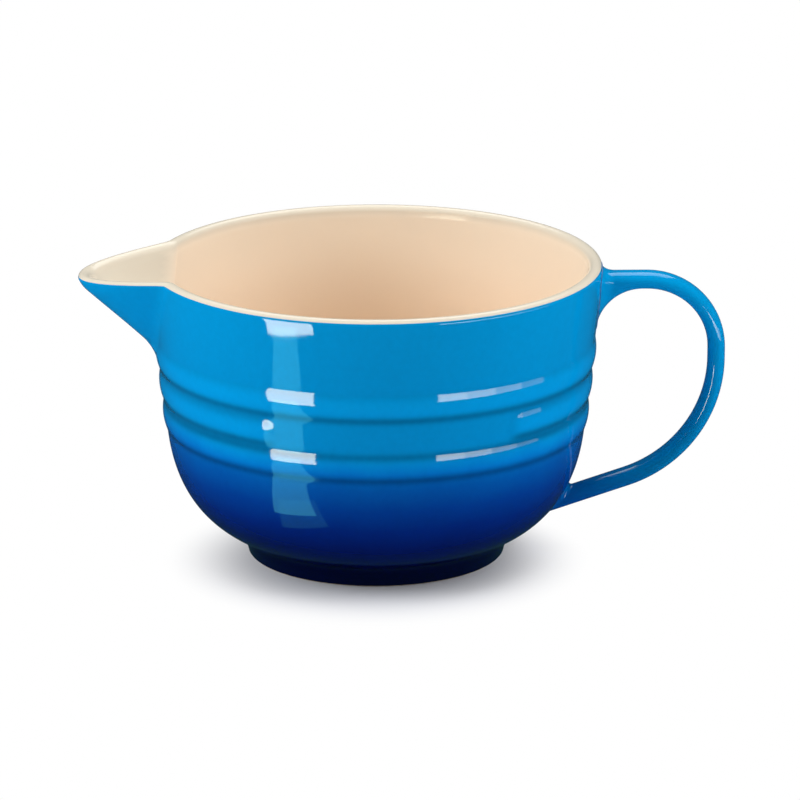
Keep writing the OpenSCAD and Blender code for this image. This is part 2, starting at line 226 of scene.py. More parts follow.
class StudioSettings(bpy.types.PropertyGroup):
    """The floor and the camera."""
    floor: colour("Floor", "Pale floor", "ECEEF6")
    floor_r: length("Floor radius", "Radius of the round floor", 5000)
    shadow_y: length("Shadow place", "From the bowl's axis to the shadow's middle, towards the camera", 15)
    fade_from: length("Fade from", "Where the floor starts to fade into the background", 40)
    fade_to: length("Fade to", "Where the floor has faded into the background", 86)
    azimuth: turn("Camera azimuth", "Camera's turn from -Y, towards +X", -1.44)
    elevation: turn("Camera elevation", "Camera's height above the horizon", 16.598)
    distance: length("Camera distance", "From the camera to what it looks at", 2200)
    lens: bpy.props.FloatProperty(
        name="Lens", description="Focal length on a 36 mm frame", default=248.69,
        unit="CAMERA",
    )
    target: bpy.props.FloatVectorProperty(
        name="Target", description="Point that the camera looks at",
        default=(9.57 * MM, 0.0, 61.26 * MM), size=3, subtype="XYZ", unit="LENGTH",
    )


class BatterBowlSettings(bpy.types.PropertyGroup):
    """All sizes and colours of the batter bowl."""
    bowl: bpy.props.PointerProperty(type=BowlSizes, name="Bowl")
    bands: bpy.props.PointerProperty(type=BandSizes, name="Bands")
    lip: bpy.props.PointerProperty(type=LipSizes, name="Pouring lip")
    strap: bpy.props.PointerProperty(type=StrapSizes, name="Handle")
    glaze: bpy.props.PointerProperty(type=GlazeLook, name="Glaze")
    studio: bpy.props.PointerProperty(type=StudioSettings, name="Studio")


# Curves

def soft_min(a, b, k):
    """The smaller of a and b, rounded where they meet."""
    return np.minimum(a, b) - np.maximum(k - np.abs(a - b), 0) ** 2 / (4 * k)


def soft_max(a, b, k):
    """The larger of a and b, rounded where they meet."""
    return np.maximum(a, b) + np.maximum(k - np.abs(a - b), 0) ** 2 / (4 * k)


def bend(p0, p1, p2, t):
    """Points of the bend from p0 to p2 that heads for p1."""
    t = np.asarray(t, float)[:, None]
    return (1 - t) ** 2 * p0 + 2 * t * (1 - t) * p1 + t ** 2 * p2


def arc(centre, radius, start, end, steps):
    """Points round a centre, from one angle to another in degrees."""
    a = np.radians(np.linspace(start, end, steps + 1))
    return centre + radius * np.stack([np.cos(a), np.sin(a)], axis=1)


def inset(curve, depth):
    """The curve moved to its left, point by point."""
    ahead = np.vstack([curve[1:], curve[-1:]])
    behind = np.vstack([curve[:1], curve[:-1]])
    along = ahead - behind
    along /= np.linalg.norm(along, axis=1)[:, None]
    return curve + depth * np.stack([-along[:, 1], along[:, 0]], axis=1)


def every(curve, step):
    """Every step-th point of a curve, with its last point."""
    return np.vstack([curve[:-1:step], curve[-1:]])


def falloff(s, run, rise):
    """Height of an elliptical sweep at a distance s from the wall."""
    left = np.clip(1 - s / run, 0, 1)
    return rise * (1 - np.sqrt(1 - left ** 2))


class Curves:
    """The bowl's faces, worked out from the sizes."""

    # Rows of points in each stretch of the outside and the inside
    FOOT_ROWS, HEEL_ROWS, BAND_ROWS, UPPER_ROWS = 8, 44, 66, 24
    INNER_WALL_ROWS, INNER_HEEL_ROWS, FLOOR_ROWS = 56, 34, 6

    def __init__(self, settings):
        b, self.bands, self.lip, g = settings.bowl, settings.bands, settings.lip, settings.glaze
        self.b, self.glaze = b, g.thick
        self.rim_r = b.rim_d / 2
        self.flare = (self.rim_r - b.belly_r) / (b.height - b.upright - b.belly_z)
        self.foot_corner = np.array([b.foot_r + b.foot_draft, b.foot_h])
        self.heel_top = np.array([b.belly_r, b.belly_z])
        rise = math.tan(b.heel)
        drop = b.belly_z - b.foot_h + self.foot_corner[0] * rise
        turn_r = (b.belly_r - drop * self.flare) / (1 - rise * self.flare)
        self.heel_turn = np.array([turn_r, b.foot_h + (turn_r - self.foot_corner[0]) * rise])
        self.inner_top = np.array([b.belly_r - b.wall, b.belly_z])
        self.inner_turn = np.array([self.inner_top[0] - (b.belly_z - b.floor_z) * self.flare, b.floor_z])
        self.half_band = self.bands.width / 2
        self.bead_r = (self.half_band ** 2 + self.bands.proud ** 2) / (2 * self.bands.proud)
        self.band_zs = [self.bands.low_z + i * self.bands.pitch for i in range(3)]
        self.wall_top = b.height - b.rim_out
        self.rim_centre = np.array([self.plain_r(self.wall_top) - b.rim_out, self.wall_top])
        self.recess_r = b.foot_r - b.foot_ring

    def heel_share(self, z):
        """How far along the round bottom's bend, from the wall down, a height lies."""
        top, turn_z, foot = self.heel_top[1], self.heel_turn[1], self.foot_corner[1]
        square, slope = top - 2 * turn_z + foot, 2 * (turn_z - top)
        below = top - np.clip(z, foot, top)
        return 2 * below / (np.sqrt(slope * slope - 4 * square * below) - slope)

    def plain_r(self, z):
        """Radius of the outer face without its bands."""
        b = self.b
        z = np.asarray(z, float)
        low = bend(self.heel_top, self.heel_turn, self.foot_corner, self.heel_share(z.ravel()))
        high = self.rim_r - soft_max((b.height - b.upright - z) * self.flare, 0, b.upright_blend)
        return np.where(z < b.belly_z, low[:, 0].reshape(z.shape), high)

    def bead(self, u):
        """How far a band stands out at a distance from its middle."""
        dome = np.sqrt(np.maximum(self.bead_r ** 2 - u ** 2, 0)) - self.bead_r + self.bands.proud
        return soft_max(dome, 0, self.bands.blend)

    def outer_r(self, z):
        """Radius of the outer face with its three bands."""
        return self.plain_r(z) + sum(self.bead(z - band) for band in self.band_zs)

    def skin_r(self, z):
        """Radius of the outer face, following the rim's rounded edge at the top."""
        edge = self.b.rim_out
        over = np.clip(z - self.wall_top, 0, edge)
        return self.outer_r(np.minimum(z, self.wall_top)) - edge + np.sqrt(edge ** 2 - over ** 2)

    def outside(self):
        """The blue face, from the foot's lower edge to the colour line on the rim."""
        b = self.b
        foot = arc([b.foot_r - b.foot_round, b.foot_round], b.foot_round, BLUE_START, 0, 4)
        side_top = self.foot_corner - np.array([b.foot_draft * b.foot_blend / b.foot_h, b.foot_blend])
        side = np.linspace(foot[-1], side_top, self.FOOT_ROWS)[1:-1]
        first = 1 - b.foot_blend / (2 * np.linalg.norm(self.foot_corner - self.heel_turn))
        heel_start = bend(self.heel_top, self.heel_turn, self.foot_corner, [first])[0]
        blend = bend(side_top, self.foot_corner, heel_start, np.linspace(0, 1, 9))
        band_start = self.band_zs[0] - self.half_band * BAND_MARGIN
        band_end = self.band_zs[2] + self.half_band * BAND_MARGIN
        last = self.heel_share(np.array([band_start]))[0]
        shares = np.linspace(first, last, self.HEEL_ROWS)[1:-1]
        heel = bend(self.heel_top, self.heel_turn, self.foot_corner, shares)
        heights = np.concatenate([
            np.linspace(band_start, band_end, self.BAND_ROWS),
            np.linspace(band_end, self.wall_top, self.UPPER_ROWS)[1:-1],
        ])
        wall = np.stack([self.outer_r(heights), heights], axis=1)
        edge = arc(self.rim_centre, b.rim_out, 0, COLOUR_LINE, 4)
        return np.vstack([foot, side, blend, heel, wall, edge])

    def inside(self):
        """The cream face, from the colour line over the rim and down to the floor's centre."""
        b = self.b
        over = arc(self.rim_centre, b.rim_out, COLOUR_LINE, 90, 6)
        inner_z = b.height - b.rim_in
        inner = arc([self.rim_r - b.wall + b.rim_in, inner_z], b.rim_in, 90, 180, 9)
        heights = np.linspace(inner_z, b.belly_z, self.INNER_WALL_ROWS)[1:]
        wall = np.stack([self.plain_r(heights) - b.wall, heights], axis=1)
        floor = np.array([b.floor_r, b.floor_z])
        heel = bend(self.inner_top, self.inner_turn, floor, np.linspace(0, 1, self.INNER_HEEL_ROWS))[1:]
        flat = np.linspace(floor, [0, b.floor_z], self.FLOOR_ROWS)[1:]
        return np.vstack([over, inner, wall, heel, flat])

    def from_break(self, x, y):
        """Angle between a point and the middle of the middle band's break."""
        phi = np.arctan2(y, x) + math.pi / 2 - self.bands.gap_turn
        return np.abs((phi + math.pi) % (2 * math.pi) - math.pi)

    def place(self, points):
        """Breaks the middle band off with rounded ends and pulls the lip out of the turned wall.

        points is an array of x, y, z on the turned form, and comes back moved.
        """
        b, lip = self.b, self.lip
        x, y, z = points.T
        r = np.hypot(x, y)
        around = np.arctan2(y, x)
        plain = self.plain_r(z)
        # The middle band's ends
        end = self.bands.gap_half + self.half_band / plain
        beyond = np.maximum(end - self.from_break(x, y), 0) * plain
        u = z - self.band_zs[1]
        skin = r > plain - b.wall / 2
        r = np.where(skin, r - self.bead(u) + self.bead(np.hypot(u, beyond)), r)
        x, y = r * np.cos(around), r * np.sin(around)
        # The lip
        depth = np.maximum(plain - r, 0)
        climb = (z - lip.rise * depth - lip.low_z) / (b.height - lip.low_z)
        opened = np.maximum(climb, lip.point)
        half = (lip.half_w - lip.side * depth) * opened ** lip.width_power
        reach = lip.reach * soft_min(lip.keel_gain * opened ** lip.keel_power, 1, lip.keel_blend)
        below = lip.reach * np.minimum(climb - opened, 0)
        raw = reach * (1 - (np.abs(y) / half) ** lip.plan_power) + below
        push = np.where(x < 0, soft_max(raw, 0, lip.blend), 0)
        return np.stack([x - push, y, z - lip.drop * push / lip.reach], axis=1)

    # A band's crest is lighter and the hollows under and above it darker, most above the lowest one.
    # This is partly glaze that runs thin on the crest and gathers in the hollows, and partly painted
    # light on the crest and painted shade where the face turns down under a band and the bands shade
    # each other. Places and spreads are shares of the band's half width.
    CREST_TONE = 0.35
    UNDER_PLACE, UNDER_SPREAD = -0.76, 0.28
    ABOVE_PLACE, ABOVE_SPREAD = 0.9, 0.3
    ABOVE_TONES = (0.8, 0.3, 0.1)
    BREAK_FADE = math.radians(4)

    def relief(self, points):
        """Above 0 on a band's crest and down to -1 in the hollows: partly how thin the glaze lies, partly
        painted light and shade.
        """
        x, y, z = points.T
        value = np.zeros(len(z))
        for number, (band, above_tone) in enumerate(zip(self.band_zs, self.ABOVE_TONES)):
            u = (z - band) / self.half_band
            there = 1.0
            if number == 1:
                there = np.clip((self.from_break(x, y) - self.bands.gap_half) / self.BREAK_FADE, 0, 1)
            crest = np.clip(1 - u ** 2, 0, 1)
            under = np.exp(-((u - self.UNDER_PLACE) / self.UNDER_SPREAD) ** 2)
            above = np.exp(-((u - self.ABOVE_PLACE) / self.ABOVE_SPREAD) ** 2)
            value += there * (self.CREST_TONE * crest - under - above_tone * above)
        return value


# Modelling with operators

def settings():
    """The sizes and colours, as they are set in the scene."""
    return bpy.context.scene.batter_bowl


def fresh_selection():
    """Leaves edit mode and deselects everything."""
    if bpy.context.object and bpy.context.object.mode != "OBJECT":
        bpy.ops.object.mode_set(mode="OBJECT")
    bpy.ops.object.select_all(action="DESELECT")


def points_of(piece):
    """A piece's points, as an array of x, y, z."""
    flat = np.empty(len(piece.data.vertices) * 3)
    piece.data.vertices.foreach_get("co", flat)
    return flat.reshape(-1, 3)


def set_points(piece, points):
    piece.data.vertices.foreach_set("co", np.asarray(points, float).ravel())
    piece.data.update()


def circle(name, count, radius, place=(0, 0, 0), **how):
    """A new circle of points."""
    fresh_selection()
    bpy.ops.mesh.primitive_circle_add(vertices=count, radius=radius, location=place, **how)
    piece = bpy.context.object
    piece.name = piece.data.name = name
    return piece


def edit_all():
    """Enters edit mode with every point selected."""
    bpy.ops.object.mode_set(mode="EDIT")
    bpy.ops.mesh.select_mode(type="VERT")
    bpy.ops.mesh.select_all(action="SELECT")


def close_up():
    """Merges doubled points, drops loose ones, turns all faces outwards and leaves edit mode."""
    edit_all()
    bpy.ops.mesh.remove_doubles(threshold=MERGE)
    bpy.ops.mesh.delete_loose(use_verts=True, use_edges=True, use_faces=False)
    bpy.ops.mesh.select_all(action="SELECT")
    bpy.ops.mesh.normals_make_consistent(inside=False)
    bpy.ops.object.mode_set(mode="OBJECT")


def turned_piece(name, section, columns=COLUMNS):
    """A ring bent into the section and spun round the bowl's axis."""
    piece = circle(name, len(section), MM)
    first = math.pi - math.radians(LIP_WINDOW)
    set_points(piece, np.stack([
        section[:, 0] * math.cos(first), section[:, 0] * math.sin(first), section[:, 1],
    ], axis=1))
    edit_all()
    for degrees, steps in columns:
        bpy.ops.mesh.spin(
            steps=steps, angle=math.radians(degrees), use_auto_merge=False,
            center=(0, 0, 0), axis=(0, 0, 1),
        )
    close_up()
    return piece


def drawn_tube(name, sides, strap, rings):
    """A round tube drawn out along X, one unit a ring, then bent ring by ring to the strap."""
    piece = circle(name, sides, 1, rotation=(0, math.pi / 2, 0))
    bpy.ops.object.transform_apply(location=True, rotation=True, scale=True)
    edit_all()
    for _ in rings[1:]:
        bpy.ops.mesh.extrude_region_move(TRANSFORM_OT_translate={"value": (1, 0, 0)})
    bpy.ops.object.mode_set(mode="OBJECT")
    points = points_of(piece)
    number = np.rint(points[:, 0]).astype(int)
    angles = np.arctan2(points[:, 2], points[:, 1])
    for i, ring in enumerate(rings):
        here = number == i
        points[here] = strap.ring_points(ring, angles[here])
    set_points(piece, points)
    return piece


def smooth(piece):
    """Shades a piece smooth and keeps its sharp edges."""
    fresh_selection()
    piece.select_set(True)
    bpy.context.view_layer.objects.active = piece
    bpy.ops.object.shade_smooth_by_angle(angle=math.radians(SMOOTH_BELOW))


def paint(piece, name, values):
    """Stores one number a point for the material to read."""
    attribute = piece.data.attributes.new(name, "FLOAT", "POINT")
    attribute.data.foreach_set("value", np.asarray(values, float))


def hand_over(piece, material, slot, *nodes):
    """Smooths a finished piece and gives it its material and its place in the frame."""
    smooth(piece)
    piece.data.materials.clear()
    piece.data.materials.append(material)
    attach(piece, BODY)
    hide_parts(*nodes)


# Materials

# Widths of the patterns in glaze and clay, and how deep their bumps go
RIPPLE, RIPPLE_DEPTH = 16 * MM, 0.06 * MM
PEEL, PEEL_DEPTH = 1.6 * MM, 0.0025 * MM
SPRAY, MOTTLE, CLOUD = 22 * MM, 2.4 * MM, 9 * MM
SAND, SAND_DEPTH = 0.8 * MM, 0.08 * MM
SPECKS = 2.2 * MM
DRAG, DRAG_DEPTH = 1.5 * MM, 0.03 * MM

FADE_WANDER = 5 * MM
# How much the bands' painted light and shade, with the glaze's break, lighten and darken the blue
BREAK_AND_SHADE_DEPTH = 0.5
MOTTLE_DEPTH = 0.06
CLOUD_DEPTH = 0.08
SAND_SHADE = 0.72
BLUE_ROUGHNESS = 0.05
CREAM_ROUGHNESS = 0.12
SLIP_ROUGHNESS = 0.3
CLAY_ROUGHNESS = 0.85
ROUGHNESS_DRIFT = 0.15
GLASS_IOR = 1.5
WHITE = (1, 1, 1, 1)


def add(tree, kind, inputs=None, **fields):
    """Adds a node, sets its fields, and fills its inputs with values or with other nodes' outputs."""
    node = tree.nodes.new(kind)
    for name, value in fields.items():
        setattr(node, name, value)
    for name, value in (inputs or {}).items():
        if isinstance(value, bpy.types.NodeSocket):
            tree.links.new(value, node.inputs[name])
        else:
            node.inputs[name].default_value = value
    return node


def calculate(tree, operation, *values):
    """The outcome of one arithmetic step."""
    return add(tree, "ShaderNodeMath", dict(enumerate(values)), operation=operation).outputs[0]


def noise(tree, place, width, detail):
    """Soft irregular patches of about a width."""
    inputs = {"Vector": place, "Scale": 1 / width, "Detail": detail}
    return add(tree, "ShaderNodeTexNoise", inputs).outputs["Fac"]


def ranged(tree, factor, start, end):
    """The factor, which runs from 0 to 1, made to run from start to end."""
    inputs = {"Value": factor, "To Min": start, "To Max": end}
    return add(tree, "ShaderNodeMapRange", inputs).outputs["Result"]


def bumps(tree, height, depth, **under):
    """Shallow bumps, laid over other ones where Normal names them."""
    inputs = {"Height": height, "Strength": 1.0, "Distance": depth, **under}
    return add(tree, "ShaderNodeBump", inputs).outputs["Normal"]


def ramp_of(tree, factor, stops):
    """A colour that runs through the stops, each a place and a tint."""
    node = add(tree, "ShaderNodeValToRGB", {"Fac": factor})
    elements = node.color_ramp.elements
    while len(elements) < len(stops):
        elements.new(0.5)
    for element, (place, tint) in zip(elements, stops):
        element.position = place
        element.color = tint
    return node.outputs["Color"]


def clean_tree(owner):
    """The emptied node tree of a new material or world."""
    owner.use_nodes = True
    owner.node_tree.nodes.clear()
    return owner.node_tree


def fired(name, surface, *details):
    """The material of that name, made the first time with what surface works out."""
    old = bpy.data.materials.get(name)
    if old:
        return old
    material = bpy.data.materials.new(name)
    tree = clean_tree(material)
    place = add(tree, "ShaderNodeTexCoord").outputs["Object"]
    inputs = {"IOR": GLASS_IOR, **surface(tree, place, *details)}
    shader = add(tree, "ShaderNodeBsdfPrincipled", inputs)
    add(tree, "ShaderNodeOutputMaterial", {"Surface": shader.outputs["BSDF"]})
    return material


def glassy(tree, place, roughness):
    """The glassy skin: a slow ripple from the spray gun and a fine orange peel, both very shallow."""
    ripple = noise(tree, place, RIPPLE, 1.0)
    slow = bumps(tree, ripple, RIPPLE_DEPTH)
    start, end = roughness * (1 - ROUGHNESS_DRIFT), roughness * (1 + ROUGHNESS_DRIFT)
    return {
        "Normal": bumps(tree, noise(tree, place, PEEL, 2.0), PEEL_DEPTH, Normal=slow),
        "Roughness": ranged(tree, ripple, start, end),
    }


def blue_glaze(tree, place, stops, has_break_and_shade):
    """Sprayed blue stoneware glaze: glossy, bright at the rim and fading to near-black at the foot.
    The spray leaves a soft mottle. The bands' crests are lighter and the hollows beside them darker:
    partly where the glaze breaks thin and gathers, partly painted light and shade."""
    height = add(tree, "ShaderNodeSeparateXYZ", {"Vector": place}).outputs["Z"]
    drift = calculate(tree, "SUBTRACT", noise(tree, place, SPRAY, 3.0), 0.5)
    wavy = calculate(tree, "MULTIPLY_ADD", drift, FADE_WANDER, height)
    tint = ramp_of(tree, calculate(tree, "DIVIDE", wavy, settings().bowl.height), stops)
    mottle = noise(tree, place, MOTTLE, 3.0)
    factor = ranged(tree, mottle, 1 - MOTTLE_DEPTH, 1 + MOTTLE_DEPTH)
    # Painted light on the bands' crests and painted shade in their hollows, with the glaze's break
    if has_break_and_shade:
        relief = add(tree, "ShaderNodeAttribute", attribute_name="relief").outputs["Fac"]
        factor = calculate(tree, "MULTIPLY_ADD", relief, BREAK_AND_SHADE_DEPTH, factor)
    toned = add(tree, "ShaderNodeVectorMath", {0: tint, "Scale": factor}, operation="SCALE")
    return {"Base Color": toned.outputs["Vector"], **glassy(tree, place, BLUE_ROUGHNESS)}


# Blues of the bowl and the strap, by millimetres over the floor. Over the last one, they run into the
# rim's. The bowl's blue stays nearly even down to the lowest band and then darkens quickly.
BOWL_BLUES = (
    (6, "foot_blue"), (20, "deep_blue"), (31, "heel_blue"), (40, "round_blue"), (49, "belly_blue"),
    (55, "low_band_blue"), (62, "band_blue"), (92, "wall_blue"),
)
STRAP_BLUES = ((20, "belly_blue"), (34, "arm_blue"), (76, "wall_blue"))


def blue(name, blues, has_break_and_shade=False):
    """The blue glaze that runs through the blues from the foot to the rim."""
    look, tall = settings().glaze, settings().bowl.height
    stops = [(z * MM / tall, getattr(look, tint)) for z, tint in blues]
    return fired(name, blue_glaze, stops + [(1.0, look.rim_blue)], has_break_and_shade)


def cream_glaze(tree, place):
    """Opaque cream liner glaze, poured in and drained. Low inside it is deeper in tone, partly the glaze
    and partly painted shade of the bowl's depth. Over the rim and in the lip it turns paler, partly where
    it thins and partly painted light where they face up."""
    look = settings().glaze
    pale = add(tree, "ShaderNodeAttribute", attribute_name="paleness").outputs["Fac"]
    mixed = calculate(tree, "MULTIPLY_ADD", noise(tree, place, CLOUD, 4.0), CLOUD_DEPTH, pale)
    height = add(tree, "ShaderNodeSeparateXYZ", {"Vector": place}).outputs["Z"]
    level = calculate(tree, "DIVIDE", height, settings().bowl.height)
    # Deeper tone low inside: partly the glaze, partly painted shade of the bowl's depth
    deep_and_shaded = ramp_of(tree, level, [(0.5, look.deep_shaded_cream), (0.97, look.cream)])
    # Paler rim and lip: partly thin glaze, partly painted light where they face up
    tint = add(
        tree, "ShaderNodeMix", {"Factor": mixed, 6: deep_and_shaded, 7: look.pale_lit_cream}, data_type="RGBA",
    )
    return {"Base Color": tint.outputs[2], **glassy(tree, place, CREAM_ROUGHNESS)}


def stoneware(tree, place):
    """Bare fired stoneware: matte buff clay with sand and small iron specks, as the foot ring shows."""
    look = settings().glaze
    sand = noise(tree, place, SAND, 4.0)
    dark = [c * SAND_SHADE for c in look.clay[:3]] + [1.0]
    body = ramp_of(tree, sand, [(0.3, dark), (0.7, look.clay)])
    specks = add(tree, "ShaderNodeTexVoronoi", {"Vector": place, "Scale": 1 / SPECKS})
    spot = ramp_of(tree, specks.outputs["Distance"], [(0.08, look.speck), (0.14, WHITE)])
    joined = add(
        tree, "ShaderNodeMix", {"Factor": 1.0, 6: body, 7: spot}, data_type="RGBA",
        blend_type="MULTIPLY",
    )
    return {
        "Base Color": joined.outputs[2], "Roughness": CLAY_ROUGHNESS,
        "Normal": bumps(tree, sand, SAND_DEPTH),
    }


def luting_slip(tree, place):
    """Luting slip under a thin run of glaze: a dull grey-blue line where the glaze drew back."""
    look = settings().glaze
    drag = noise(tree, place, DRAG, 3.0)
    return {
        "Base Color": ramp_of(tree, drag, [(0.35, look.belly_blue), (0.65, look.slip)]),
        "Roughness": SLIP_ROUGHNESS, "Normal": bumps(tree, drag, DRAG_DEPTH),
    }


# Pieces of the bowl

def outside_glaze():
    """The blue coat on the outside."""
    curves = Curves(settings())
    face = curves.outside()
    back = every(inset(face, curves.glaze), 3)
    piece = turned_piece("outside_glaze", np.vstack([face, back[::-1]]))
    points = points_of(piece)
    # Painted light and shade on the bands, with the glaze's break, for the blue glaze to read
    paint(piece, "relief", curves.relief(points))
    set_points(piece, curves.place(points))
    hand_over(piece, blue("sprayed_blue_glaze", BOWL_BLUES, True), "blue_glaze", "outer_glaze")


def inside_glaze():
    """The cream coat over the rim and down the inside."""
    curves = Curves(settings())
    face = curves.inside()
    back = every(inset(face, curves.glaze), 2)
    back[-1][0] = 0
    piece = turned_piece("inside_glaze", np.vstack([face, back[::-1]]))
    points = points_of(piece)
    z = points[:, 2]
    moved = curves.place(points)
    pushed = points[:, 0] - moved[:, 0]
    # Paleness on the rim and in the lip: partly thin glaze, partly painted light where they face up
    pale_depth, pale_fade, lip_fade = 4 * MM, 3 * MM, 4 * MM
    near_rim = np.clip((z - (settings().bowl.height - pale_depth)) / pale_fade, 0, 1)
    in_lip = np.clip(pushed / lip_fade, 0, 1) * (z > settings().lip.low_z)
    paint(piece, "paleness", np.maximum(near_rim, in_lip))
    set_points(piece, moved)
    hand_over(piece, fired("poured_cream_glaze", cream_glaze), "cream_glaze", "inner_glaze")


def clay_bowl():
    """The fired clay between the coats, bare only on the foot ring."""
    curves = Curves(settings())
    b = settings().bowl
    out = every(inset(curves.outside(), curves.glaze), 2)
    into = every(inset(curves.inside(), curves.glaze), 2)
    into[-1][0] = 0
    low, ring_in, roof = b.foot_round, curves.recess_r, b.recess + curves.glaze
    edge = ring_in - low - curves.glaze
    coat_end = low * BASE_COAT_END
    section = np.vstack([
        out, into[1:],
        [[0, roof], [edge, roof]],
        arc([edge, roof - low], low, 90, 0, 4)[1:],
        [[ring_in - curves.glaze, coat_end], [ring_in, coat_end]],
        arc([ring_in + low, low], low, 180, 270, 5),
        arc([b.foot_r - low, low], low, 270, BARE_END, 3),
    ])
    piece = turned_piece("clay_bowl", section)
    set_points(piece, curves.place(points_of(piece)))
    hand_over(piece, fired("bare_stoneware", stoneware), "stoneware", "bowl_body")


def base_coat():
    """The cream coat in the recess under the foot."""
    curves = Curves(settings())
    b = settings().bowl
    g = curves.glaze
    edge = curves.recess_r - b.foot_round - g
    roof = b.recess + g
    rounded_out = arc([edge, roof - b.foot_round], b.foot_round, 0, 90, 6)
    rounded_in = arc([edge, roof - b.foot_round], b.foot_round - g, 90, 0, 6)
    coat_end = b.foot_round * BASE_COAT_END
    section = np.vstack([
        [[0, b.recess]], rounded_in,
        [[edge + b.foot_round - g, coat_end], [edge + b.foot_round, coat_end]],
        rounded_out, [[0, roof]],
    ])
    piece = turned_piece("base_coat", section, PLAIN_COLUMNS)
    paint(piece, "paleness", np.full(len(piece.data.vertices), RECESS_PALENESS))
    hand_over(piece, fired("poured_cream_glaze", cream_glaze), "cream_glaze", "base_glaze")


# Pieces of the handle

class Strap:
    """The strap's path from wall to wall in the X-Z plane, and its rings.

    An arm is a straight stretch at the wall: its foot there, its direction, where its outer face
    looks, its length, and the run and rise of the sweeps on both faces. A ring has a centre, an
    outward direction, half sizes outward, inward and across, and on an arm a distance from the wall.
    """

    # Rings in each stretch, and how much an arm's rings crowd towards the wall
    UPPER_ARM_RINGS, UPPER_CROWDING = 30, 1.7
    UPPER_BEND_RINGS, STRAIGHT_RINGS, LOWER_BEND_RINGS = 37, 4, 54
    LOWER_ARM_RINGS, LOWER_CROWDING = 36, 1.5

    # The wall is looked for between these places, by halving the stretch this often.
    NEAREST, FARTHEST, HALVINGS = -30 * MM, 60 * MM, 48

    def __init__(self, everything, grown):
        s = everything.strap
        self.s, self.curves = s, Curves(everything)
        self.half = np.array([s.thick, s.thick, s.width]) / 2 + grown
        self.upper_c = np.array([s.reach - s.upper_r, s.arm_z - s.upper_r])
        self.lower_c = np.array([s.reach - s.lower_r, self.upper_c[1] - s.straight])
        upper_foot = np.array([float(self.curves.plain_r(s.arm_z)), s.arm_z])
        self.upper = SimpleNamespace(
            foot=upper_foot, direction=np.array([1.0, 0.0]), out=np.array([0.0, 1.0]),
            run=self.upper_c[0] - upper_foot[0],
            outer_sweep=(s.top_run, s.top_rise), inner_sweep=(s.under, s.under),
        )
        sin, cos = math.sin(s.lower_turn), math.cos(s.lower_turn)
        arm_end = self.lower_c + s.lower_r * np.array([cos, -sin])
        direction = np.array([sin, cos])
        run = self.to_wall(np.array([[arm_end[0], 0, arm_end[1]]]), direction)[0]
        self.lower = SimpleNamespace(
            foot=arm_end - run * direction, direction=direction, out=np.array([cos, -sin]), run=run,
            outer_sweep=(s.low_under, s.low_under), inner_sweep=(s.low, s.low),
        )

    def to_wall(self, points, direction):
        """Distance from each point back along the direction to the bowl's face."""
        low, high = np.full(len(points), self.NEAREST), np.full(len(points), self.FARTHEST)
        step = np.array([direction[0], 0, direction[1]])
        for _ in range(self.HALVINGS):
            middle = (low + high) / 2
            p = points - middle[:, None] * step
            outside = np.hypot(p[:, 0], p[:, 1]) > self.curves.skin_r(p[:, 2])
            low = np.where(outside, middle, low)
            high = np.where(outside, high, middle)
        return (low + high) / 2

    def arm_ring(self, arm, d):
        """An arm's ring at a distance d from the wall, swept into the wall all round."""
        side = self.s.side
        sweeps = [falloff(d, *sweep) for sweep in (arm.outer_sweep, arm.inner_sweep, (side, side))]
        return SimpleNamespace(
            centre=arm.foot + d * arm.direction, out=arm.out, half=self.half + sweeps, arm=arm,
            from_wall=d,
        )

    def grip_ring(self, centre, radius, angle):
        """A ring at an angle round the centre of one of the grip's bends."""
        out = np.array([math.cos(angle), math.sin(angle)])
        return SimpleNamespace(centre=centre + radius * out, out=out, half=self.half, arm=None)

    def rings(self, bury):
        """All rings, from the upper end, buried in the wall, round the grip to the lower end."""
        s = self.s
        upper = self.upper.run * np.linspace(0, 1, self.UPPER_ARM_RINGS) ** self.UPPER_CROWDING
        rings = [self.arm_ring(self.upper, d) for d in [-bury, *upper]]
        for a in np.linspace(math.pi / 2, 0, self.UPPER_BEND_RINGS)[1:]:
            rings.append(self.grip_ring(self.upper_c, s.upper_r, a))
        for d in np.linspace(0, s.straight, self.STRAIGHT_RINGS)[1:]:
            rings.append(self.grip_ring(self.upper_c - np.array([0, d]), s.upper_r, 0))
        for a in np.linspace(0, -s.lower_turn, self.LOWER_BEND_RINGS)[1:-1]:
            rings.append(self.grip_ring(self.lower_c, s.lower_r, a))
        lower = self.lower.run * np.linspace(1, 0, self.LOWER_ARM_RINGS) ** self.LOWER_CROWDING
        return rings + [self.arm_ring(self.lower, d) for d in [*lower, -bury]]

    def ring_points(self, ring, angles):
        """The outline of one ring. An arm's ring near the wall follows the wall's curve."""
        power = 2 / self.s.power
        cos, sin = np.cos(angles), np.sin(angles)
        outward, inward, across = ring.half
        y = -across * np.sign(cos) * np.abs(cos) ** power
        off = np.where(sin > 0, outward, inward) * np.sign(sin) * np.abs(sin) ** power
        flat = ring.centre + off[:, None] * ring.out
        points = np.stack([flat[:, 0], y, flat[:, 1]], axis=1)
        if ring.arm:
            direction = ring.arm.direction
            along = np.clip(ring.from_wall / ring.arm.run, 0, 1)
            keep = 1 - along * along * (3 - 2 * along)
            off_wall = self.to_wall(points, direction) - ring.from_wall
            points = points - (keep * off_wall)[:, None] * np.array([direction[0], 0, direction[1]])
        return points


def cap_ends():
    """Fills the two open ends of the active tube."""
    bpy.ops.object.mode_set(mode="EDIT")
    bpy.ops.mesh.select_all(action="DESELECT")
    bpy.ops.mesh.select_non_manifold(
        extend=False, use_wire=False, use_multi_face=False, use_non_contiguous=False, use_verts=False,
    )
    bpy.ops.mesh.edge_face_add()
    close_up()


